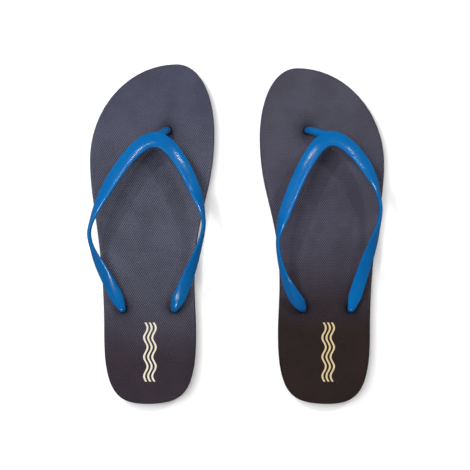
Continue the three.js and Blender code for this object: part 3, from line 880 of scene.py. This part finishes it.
def anchor_disc(sandal, centre):
    """A lathe shape: its profile is a list of (radius, height) from the neck round to the underside."""
    top = OUTSOLE_THICKNESS - DISC_GAP
    low = top - DISC_THICKNESS
    bend = np.linspace(0, np.pi / 2, 6)
    s, c = 1 - np.sin(bend), 1 - np.cos(bend)
    upper = np.column_stack([DISC_RADIUS - DISC_TOP_ROUND * s, top - DISC_TOP_ROUND * c])
    lower = np.column_stack([DISC_RADIUS - DISC_LOW_ROUND * c, low + DISC_LOW_ROUND * s])
    turned = np.concatenate([[(DISC_NECK, top)], upper, lower, [(2.4, low), (2.0, low + 0.35)]])
    rings = np.stack([at_height(circle(centre, radius, 64), z) for radius, z in turned])
    return piece("disc", sandal, [wall(rings), end_caps(rings)])


def join(base, others):
    """Boolean union of closed pieces into base, whose mesh is replaced by the result."""
    for other in others:
        modifier = base.modifiers.new("join", "BOOLEAN")
        modifier.operation = "UNION"
        modifier.solver = "MANIFOLD"
        modifier.object = other
    bpy.context.view_layer.update()
    evaluated = base.evaluated_get(bpy.context.evaluated_depsgraph_get())
    joined = bpy.data.meshes.new_from_object(evaluated)
    base.modifiers.clear()
    base.data = joined
    joined.name = base.name
    for other in others:
        bpy.data.objects.remove(other)


def strap_moulding(sandal):
    """The band with its toe post and three discs, as one closed piece."""
    band, apex = strap_band(sandal)
    discs = [anchor_disc(sandal, centre) for centre in sandal["holes"].values()]
    join(band, [toe_post(sandal, apex)] + discs)
    return band


make_both("strap", strap_moulding)

# %% [markdown]
# ## Finishes
#
# Colours are given as sRGB hex, as on a colour card, and turned to the linear values that the shaders
# mix. One helper adds a node, sets its inputs and links what is handed to it.

# %% Shader helpers


def linear(hex_colour):
    """sRGB hex to linear RGBA: c / 12.92 below 0.04045, else ((c + 0.055) / 1.055)^2.4."""
    c = np.array([int(hex_colour[i : i + 2], 16) for i in (1, 3, 5)]) / 255
    c = np.where(c <= 0.04045, c / 12.92, ((c + 0.055) / 1.055) ** 2.4)
    return (*c, 1.0)


def add(tree, kind, settings=None, **inputs):
    """Adds a node; settings are its properties, inputs are values or sockets to link, by socket name.

    In a socket's name __ stands for a space, and Value_1 means the second socket called Value."""
    node = tree.nodes.new(kind)
    for key, value in (settings or {}).items():
        setattr(node, key, value)
    for key, value in inputs.items():
        name, _, number = key.replace("__", " ").partition("_")
        sockets = [s for s in node.inputs if s.name == name and s.enabled]
        socket = sockets[int(number or 0)]
        if isinstance(value, bpy.types.NodeSocket):
            tree.links.new(value, socket)
        else:
            socket.default_value = value
    return node


def material(name):
    """An empty node material with its Principled shader; returns the material, tree and shader."""
    made = bpy.data.materials.new(name)
    made.use_nodes = True
    tree = made.node_tree
    tree.nodes.clear()
    shader = add(tree, "ShaderNodeBsdfPrincipled")
    output = add(tree, "ShaderNodeOutputMaterial")
    tree.links.new(shader.outputs["BSDF"], output.inputs["Surface"])
    return made, tree, shader


def math(tree, operation, a, b=None):
    """One arithmetic step on numbers or sockets."""
    inputs = {"Value": a} if b is None else {"Value": a, "Value_1": b}
    return add(tree, "ShaderNodeMath", {"operation": operation}, **inputs).outputs[0]


def mix(tree, factor, a, b, blend="MIX"):
    """Mixes two colours by a factor."""
    settings = {"data_type": "RGBA", "blend_type": blend}
    return add(tree, "ShaderNodeMix", settings, Factor=factor, A=a, B=b).outputs[2]


def ramp(tree, value, low, high, to_low=0.0, to_high=1.0):
    """Maps a number smoothly from one range to another, held at the ends."""
    settings = {"interpolation_type": "SMOOTHSTEP"}
    limits = {"From__Min": low, "From__Max": high, "To__Min": to_low, "To__Max": to_high}
    return add(tree, "ShaderNodeMapRange", settings, Value=value, **limits).outputs[0]


def noise(tree, vector, size_mm, detail=3.0):
    """Noise whose blotches are about size_mm across."""
    scale = 1 / (size_mm * MM)
    return add(tree, "ShaderNodeTexNoise", None, Vector=vector, Scale=scale, Detail=detail).outputs[0]


def bump(tree, height, distance_mm, strength):
    """A bump whose full height is distance_mm."""
    distance = distance_mm * MM
    return add(tree, "ShaderNodeBump", None, Height=height, Distance=distance, Strength=strength).outputs[0]


def attribute(tree, name):
    """A value that was stored with the mesh."""
    return add(tree, "ShaderNodeAttribute", {"attribute_name": name}).outputs["Fac"]


def object_place(tree):
    """Where a point of the surface lies, in metres in the piece's own space."""
    return add(tree, "ShaderNodeTexCoord").outputs["Object"]


def surface(tree, shader, colour, roughness, normal):
    """Links the three things that vary over a material."""
    for name, socket in (("Base Color", colour), ("Roughness", roughness), ("Normal", normal)):
        tree.links.new(socket, shader.inputs[name])


# %% [markdown]
# ### Embossed EVA footbed
#
# Closed-cell EVA foam with a pressed skin: a dull, slightly waxy surface. It is a dark grey-blue. Its colour
# is painted darker and more brown at the heel and lighter and bluer from the waist forward, which is painted
# light and shade for light that falls from the toe end. The ridges are painted paler, partly rubbing and
# partly a painted highlight, and the pits darker, partly dust and partly painted shade. Round the stems the
# foam is painted darker, partly grime and partly painted shade. A row of ripples is printed in cream ink on
# the heel, where the pits are too deep to take all of the ink.

# %% Footbed material
INK_HALF_LENGTH, INK_PITCH, INK_SWING, INK_STROKE = 23.0, 15.0, 1.35, 0.72
INK_ROWS = (-3.2, 0.0, 3.2)
INK_FROM_BACK = 40.5


def ripple_mask(tree, x, y, centre):
    """1 on three parallel sine lines x = x0 + swing * sin(2 pi y / pitch), 0 elsewhere."""
    along = math(tree, "SUBTRACT", y, centre[1] * MM)
    phase = math(tree, "MULTIPLY", along, 2 * np.pi / (INK_PITCH * MM))
    swing = math(tree, "MULTIPLY", math(tree, "SINE", phase), INK_SWING * MM)
    across = math(tree, "SUBTRACT", math(tree, "SUBTRACT", x, centre[0] * MM), swing)
    total = 0.0
    for row in INK_ROWS:
        gap = math(tree, "ABSOLUTE", math(tree, "SUBTRACT", across, row * MM))
        line = ramp(tree, gap, (INK_STROKE - 0.12) * MM, (INK_STROKE + 0.12) * MM, 1.0, 0.0)
        total = math(tree, "MAXIMUM", total, line)
    reach = math(tree, "ABSOLUTE", along)
    window = ramp(tree, reach, (INK_HALF_LENGTH - 0.15) * MM, (INK_HALF_LENGTH + 0.15) * MM, 1.0, 0.0)
    return math(tree, "MULTIPLY", total, window)


def footbed_material(sandal, colours):
    """Painted light and shade along the sole, on the ridges and pits and round the stems, then the printed
    ripples.
    """
    made, tree, shader = material("embossed_eva_foam_" + sandal["name"])
    place = object_place(tree)
    split = add(tree, "ShaderNodeSeparateXYZ", None, Vector=place)
    x, y = split.outputs[0], split.outputs[1]
    relief = attribute(tree, "relief")
    start = sandal["place"][1] * MM
    # Painted light and shade: darker and more brown at the heel, lighter from the waist forward.
    out_of_heel_shade = ramp(tree, y, start + colours["heel_shade_span"][0], start + colours["heel_shade_span"][1])
    base = mix(tree, out_of_heel_shade, linear(colours["heel"]), linear(colours["middle"]))
    base = mix(tree, ramp(tree, y, start + 0.15, start + 0.25), base, linear(colours["toe"]))
    cloud = ramp(tree, noise(tree, place, 22), 0.35, 0.65, 0.9, 1.1)
    grain = noise(tree, place, 0.7, 2.0)
    height = math(tree, "ADD", relief, math(tree, "MULTIPLY", math(tree, "SUBTRACT", grain, 0.5), 1.2))
    # Painted highlight on the ridges and painted shade in the pits, partly rubbing and dust: the relief
    # scales the colour from 0.12 to 2 times, with a random cloud tone.
    light = math(tree, "MULTIPLY", cloud, ramp(tree, height, -1.0, 1.0, 0.12, 2.0))
    ridge_light_pit_shade = add(tree, "ShaderNodeCombineColor", None, Red=light, Green=light, Blue=light)
    base = mix(tree, 1.0, base, ridge_light_pit_shade.outputs[0], "MULTIPLY")
    # Painted shade round the stems, partly grime: up to 0.6 of the way to a near-black violet.
    base = mix(tree, math(tree, "MULTIPLY", attribute(tree, "stain"), 0.6), base, linear("#14121F"))
    centre = (sandal["place"][0] + sandal["mirror"] * colours["ink_x"], sandal["place"][1] + INK_FROM_BACK)
    ink = math(tree, "MULTIPLY", ripple_mask(tree, x, y, centre), ramp(tree, height, -1.3, -0.5))
    base = mix(tree, ink, base, linear(colours["ink"]))
    rough = ramp(tree, math(tree, "ADD", relief, grain), -0.5, 1.5, 0.72, 0.56)
    surface(tree, shader, base, rough, bump(tree, noise(tree, place, 0.35, 2.0), 0.05, 0.6))
    shader.inputs["IOR"].default_value = 1.36
    return made


# The heel colours are painted shade and the middle and toe colours painted light, for light from the toe
# end.
FOOTBED_COLOURS = {
    "left": dict(toe="#393A4A", middle="#464754", heel="#2A222A", ink="#DCD6C2", ink_x=0.1,
                 heel_shade_span=(0.03, 0.1)),
    "right": dict(toe="#3A3945", middle="#3B3945", heel="#1E1312", ink="#CDB98F", ink_x=-3.0,
                  heel_shade_span=(0.05, 0.14)),
}
for sandal in SANDALS:
    sandal["footbed"].data.materials.append(footbed_material(sandal, FOOTBED_COLOURS[sandal["name"]]))

# %% [markdown]
# ### Midsole foam and outsole
#
# Cut foam shows its cells: a matt, slightly darker wall with fine open pores. The outsole is the same
# foam pressed harder, so it is smoother, darker and a little shinier on the lands, and dusty in the
# grooves.

# %% Midsole and outsole materials


def cut_foam_material():
    """Matt navy foam with 0.6 mm pores from a Voronoi pattern, painted darker inside as painted shade."""
    made, tree, shader = material("die_cut_eva_foam")
    place = object_place(tree)
    cloud = ramp(tree, noise(tree, place, 9), 0.3, 0.7)
    base = mix(tree, cloud, linear("#2C2E42"), linear("#363850"))
    pores = add(tree, "ShaderNodeTexVoronoi", None, Vector=place, Scale=1 / (0.6 * MM)).outputs["Distance"]
    # Painted shade in the open pores.
    pore_shade = ramp(tree, pores, 0.0, 0.35, 1.0, 0.0)
    base = mix(tree, math(tree, "MULTIPLY", pore_shade, 0.5), base, linear("#1C1D2C"))
    surface(tree, shader, base, ramp(tree, cloud, 0.0, 1.0, 0.82, 0.92), bump(tree, pores, 0.12, 0.5))
    return made


def tread_material():
    """Pressed foam: smoother and darker, with pale dust where the relief is deep."""
    made, tree, shader = material("pressed_eva_tread")
    place = object_place(tree)
    relief = attribute(tree, "relief")
    dust = ramp(tree, math(tree, "ADD", relief, noise(tree, place, 4)), 0.6, -0.3)
    base = mix(tree, math(tree, "MULTIPLY", dust, 0.35), linear("#232535"), linear("#4B4B55"))
    rough = ramp(tree, dust, 0.0, 1.0, 0.55, 0.8)
    surface(tree, shader, base, rough, bump(tree, noise(tree, place, 0.5, 2.0), 0.05, 0.5))
    return made


foam, tread = cut_foam_material(), tread_material()
for sandal in SANDALS:
    sandal["midsole"].data.materials.append(foam)
    sandal["outsole"].data.materials.append(tread)

# %% [markdown]
# ### Moulded PVC strap
#
# Plasticised PVC: a clear strong blue with a soft gloss. Light goes a little way in, so thin edges look
# brighter, and the knurled panel breaks the reflection into sparkles.

# %% Strap material


def strap_material():
    """Blue PVC with gloss, faint flow marks and painted shade that darkens the knurl's pits."""
    made, tree, shader = material("moulded_soft_pvc")
    place = object_place(tree)
    relief = attribute(tree, "relief")
    flow = ramp(tree, noise(tree, place, 14), 0.3, 0.7)
    base = mix(tree, flow, linear("#005B9A"), linear("#0262A2"))
    # Painted shade: the knurl's sunk points are mixed up to halfway to a deeper blue.
    base = mix(tree, ramp(tree, relief, -0.1, -1.0, 0.0, 0.5), base, linear("#02487F"))
    rough = ramp(tree, noise(tree, place, 1.2), 0.3, 0.7, 0.15, 0.21)
    surface(tree, shader, base, rough, bump(tree, noise(tree, place, 0.6, 2.0), 0.02, 0.5))
    shader.inputs["IOR"].default_value = 1.47
    shader.inputs["Subsurface Weight"].default_value = 0.12
    shader.inputs["Subsurface Radius"].default_value = (0.1, 0.4, 1.0)
    shader.inputs["Subsurface Scale"].default_value = 1.2 * MM
    return made


pvc = strap_material()
for sandal in SANDALS:
    sandal["strap"].data.materials.clear()
    sandal["strap"].data.materials.append(pvc)
for part in PARTS:
    print(part, "finishes", [sandal[part].data.materials[0].name for sandal in SANDALS])

# %% [markdown]
# ## Bodies, stage, light and camera
#
# Each fine piece stands for one plain piece of the frame and moves with its sandal's body. The pair lies
# on a pale floor and is seen from straight above. A broad soft light stands high on the left, so the
# shadows fall to the lower right, and a wide one at each side fills them. Broad lights would lay a haze
# over the glossy straps, so they and the floor are left out of reflections. The crisp highlights come
# from three small lamps, of which the one at the heels shows in reflections only.

# %% Bodies, with the plain pieces hidden
for sandal in SANDALS:
    for part in PARTS:
        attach(sandal[part], sandal["name"] + "_sandal")
        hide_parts(f"{sandal['name']}_{part}")

# %% Stage, light and camera
floor_mesh = bpy.data.meshes.new("floor")
floor_mesh.from_pydata([(-4, -4, 0), (4, -4, 0), (4, 4, 0), (-4, 4, 0)], [], [(0, 1, 2, 3)])
floor = bpy.data.objects.new("floor", floor_mesh)
bpy.context.scene.collection.objects.link(floor)
floor.visible_glossy = False
paper, _, paper_shader = material("white_paper")
paper_shader.inputs["Base Color"].default_value = linear("#F4F4F4")
paper_shader.inputs["Roughness"].default_value = 0.9
paper_shader.inputs["Emission Color"].default_value = linear("#FFFFFF")
paper_shader.inputs["Emission Strength"].default_value = 0.15
floor_mesh.materials.append(paper)
floor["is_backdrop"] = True


LIGHT_DISTANCE = 1.4


def soft_light(name, azimuth, elevation, size, power, colour="#FFFFFF"):
    """A rectangular area light that looks at the middle of the pair from a compass place and a height."""
    turn, rise = np.radians(azimuth), np.radians(elevation)
    toward = mathutils.Vector((np.cos(turn) * np.cos(rise), np.sin(turn) * np.cos(rise), np.sin(rise)))
    light = bpy.data.lights.new(name, "AREA")
    light.shape = "RECTANGLE"
    light.size, light.size_y = size
    light.energy, light.color = power, linear(colour)[:3]
    lamp = bpy.data.objects.new(name, light)
    lamp.location = toward * LIGHT_DISTANCE
    lamp.rotation_euler = (-toward).to_track_quat("-Z", "Y").to_euler()
    bpy.context.scene.collection.objects.link(lamp)
    return lamp


diffusers = [
    soft_light("overhead", 150, 77, (0.5, 0.5), 12.3),
    soft_light("left_wall", 180, 40, (1.4, 0.5), 5, "#F4F7FF"),
    soft_light("right_wall", 0, 40, (1.4, 0.5), 3.3, "#FFF9F2"),
]
for diffuser in diffusers:
    diffuser.visible_glossy = False
soft_light("lamp_left", 134, 60, (0.12, 0.06), 5)
soft_light("lamp_right", 44, 58, (0.14, 0.06), 4.5)
soft_light("heel_side", -98, 27, (0.22, 0.16), 3).visible_diffuse = False
world = bpy.data.worlds.new("studio")
bpy.context.scene.world = world
world.use_nodes = True
world.node_tree.nodes["Background"].inputs["Color"].default_value = linear("#FFFFFF")
to_camera = add(world.node_tree, "ShaderNodeLightPath").outputs["Is Camera Ray"]
strength = math(world.node_tree, "MULTIPLY_ADD", to_camera, 0.9)
strength.node.inputs[2].default_value = 0.08
world.node_tree.links.new(strength, world.node_tree.nodes["Background"].inputs["Strength"])

# The camera hangs above the ball of the foot and takes in a square of the sole's top.
CAMERA_HEIGHT, VIEW_WIDTH, CAMERA_X, CAMERA_Y = 0.990, 0.3669, -0.0016, -0.0009
camera_data = bpy.data.cameras.new("camera")
camera_data.angle = 2 * np.arctan(0.5 * VIEW_WIDTH / CAMERA_HEIGHT)
camera = bpy.data.objects.new("camera", camera_data)
camera.location = (CAMERA_X, CAMERA_Y, BALL_HEIGHT * MM + CAMERA_HEIGHT)
bpy.context.scene.collection.objects.link(camera)
bpy.context.scene.camera = camera
bpy.context.scene.view_settings.view_transform = "Standard"

low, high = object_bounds()
